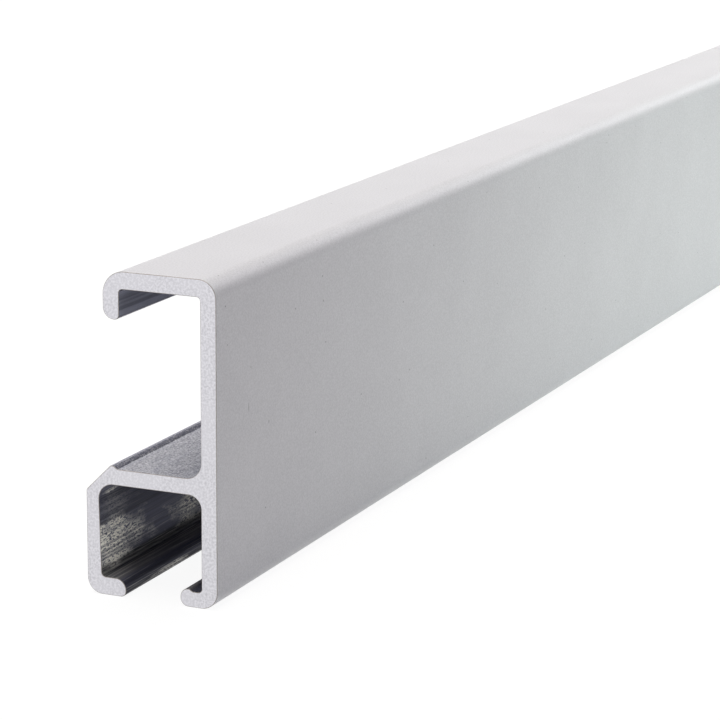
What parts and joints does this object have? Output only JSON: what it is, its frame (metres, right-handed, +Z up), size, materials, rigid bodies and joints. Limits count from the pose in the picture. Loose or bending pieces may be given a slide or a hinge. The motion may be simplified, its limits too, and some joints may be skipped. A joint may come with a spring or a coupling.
{
  "type": "picture hanging rail extrusion",
  "caption": "Straight aluminium rail with a hooked clip pocket at the top of its back and a slotted channel along its foot for sliding hangers.",
  "frame": {"origin": "under the middle of the rail, halfway through its depth, at the level of the lips' undersides", "axes": "+X along the rail, +Y from the front face to the wall behind, +Z up to the hooked top"},
  "size_m": [1, 0.0122, 0.028],
  "materials": {
    "satin_coated_aluminium": "satin silver-white coat outside, bare mill finish in the pocket and channel, sawn ends"
  },
  "bodies": {
    "root": {"hanging_rail": "satin_coated_aluminium"}
  },
  "joints": []
}
